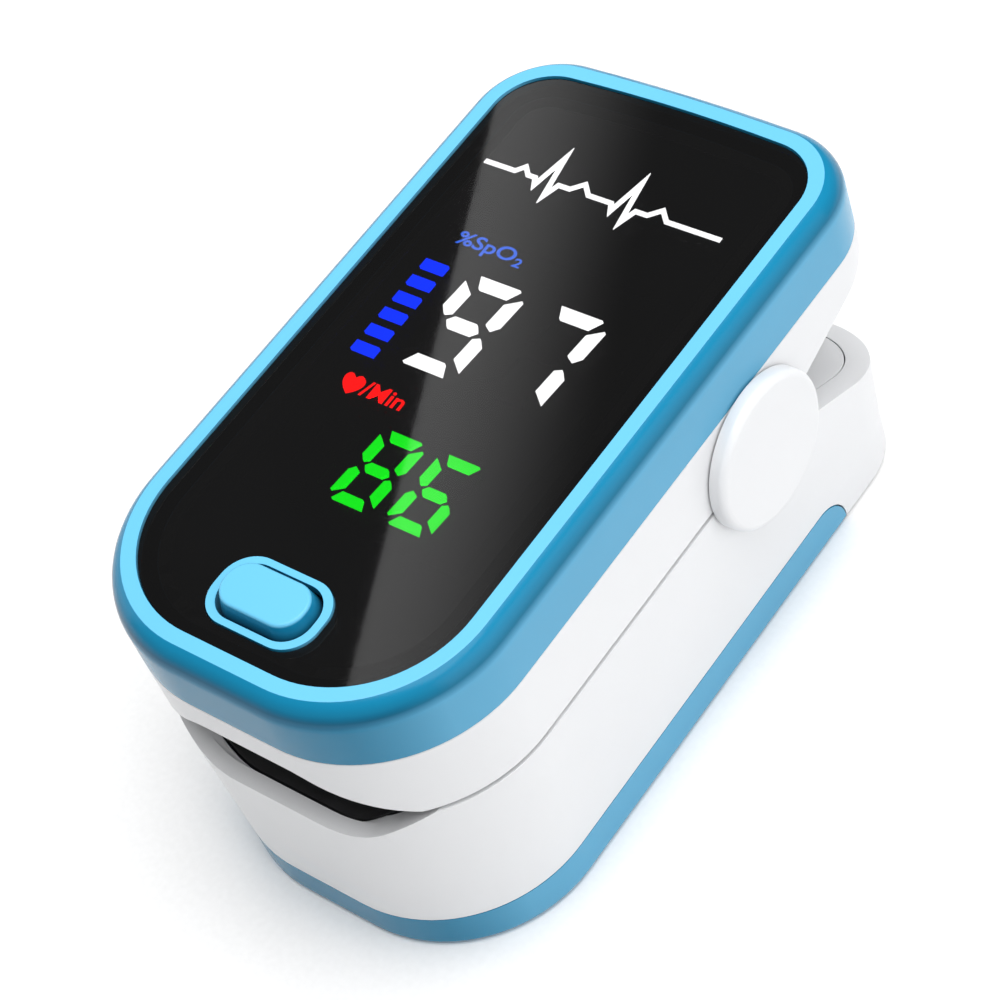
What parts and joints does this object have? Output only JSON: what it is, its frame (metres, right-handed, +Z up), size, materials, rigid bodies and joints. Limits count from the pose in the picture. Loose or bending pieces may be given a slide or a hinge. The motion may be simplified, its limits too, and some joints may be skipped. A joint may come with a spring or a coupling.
{
  "type": "fingertip pulse oximeter",
  "caption": "Clip-shaped fingertip pulse oximeter with a hinged sprung top half, dark display window, push button, soft finger channel and slide-off battery cover.",
  "frame": {"origin": "middle of the base, on the surface the device stands on", "axes": "+Z up, -Y towards the front end where the finger goes in, X across the width"},
  "size_m": [0.037, 0.062, 0.033],
  "materials": {
    "blue_plastic": "glossy moulded ABS",
    "white_plastic": "satin moulded ABS",
    "window": "polished dark tinted acrylic",
    "black_foam": "adhesive foam",
    "black_plastic": "matt black display mask",
    "lit_white": "lit white LED segments",
    "lit_green": "lit green LED segments",
    "lit_blue": "lit blue LED bars",
    "lit_red": "lit red LED symbol",
    "unlit": "unlit LED segments",
    "print_white": "white screen print",
    "silicone": "soft black silicone",
    "circuit_board": "green solder mask",
    "chip_black": "moulded epoxy",
    "switch_metal": "pressed steel can",
    "steel": "bright zinc plate",
    "spring_steel": "drawn wire",
    "contact_nickel": "nickel plate",
    "clear_window": "red tinted clear plastic",
    "battery": "printed steel can",
    "polyimide": "amber polyimide ribbon",
    "socket_plastic": "nylon"
  },
  "bodies": {
    "lower": {"lower_shell": "white_plastic", "lower_tray": "white_plastic", "lower_finger_pad": "silicone", "sensor_window": "clear_window", "photodiode": "chip_black", "sensor_board": "circuit_board", "lower_screws": "steel", "battery_left": "battery", "battery_right": "battery", "bridge_contact": "contact_nickel", "rear_contacts": "contact_nickel", "battery_springs": "spring_steel", "hinge_pin": "steel", "side_cap_left": "white_plastic", "side_cap_right": "white_plastic", "torsion_spring_left": "spring_steel", "torsion_spring_right": "spring_steel", "flex_cable": "polyimide"},
    "upper": {"top_cover": "blue_plastic", "display_window": "window", "window_gasket": "black_foam", "display_module": "black_plastic", "spo2_digits": "lit_white", "pulse_digits": "lit_green", "unlit_segments": "unlit", "strength_bars": "lit_blue", "heart_icon": "lit_red", "pulse_trace": "print_white", "main_board": "circuit_board", "board_chips": "chip_black", "tact_switch": "switch_metal", "upper_shell": "white_plastic", "upper_tray": "white_plastic", "upper_finger_pad": "silicone", "emitter_window": "clear_window", "emitter_led": "socket_plastic", "flex_socket": "socket_plastic", "upper_screws": "steel"},
    "button": {"power_button": "blue_plastic"},
    "battery_door": {"battery_cover": "blue_plastic"}
  },
  "joints": [
    {"name": "clip_hinge", "type": "hinge", "parent": "lower", "child": "upper", "pos_m": [0, 0.0098, 0.02], "axis": [-1, 0, 0], "range_deg": [0, 26], "stiffness_Nm_per_rad": 0.35, "springref_deg": -20.05, "deforming": ["torsion_spring_left", "torsion_spring_right", "flex_cable"]},
    {"name": "button_press", "type": "slide", "parent": "upper", "child": "button", "axis": [0, 0, -1], "range_m": [0, 0.0006], "stiffness_N_per_m": 2500, "springref_m": -0.0002},
    {"name": "battery_cover_slide", "type": "slide", "parent": "lower", "child": "battery_door", "axis": [0, -1, 0], "range_m": [0, 0.06]}
  ]
}
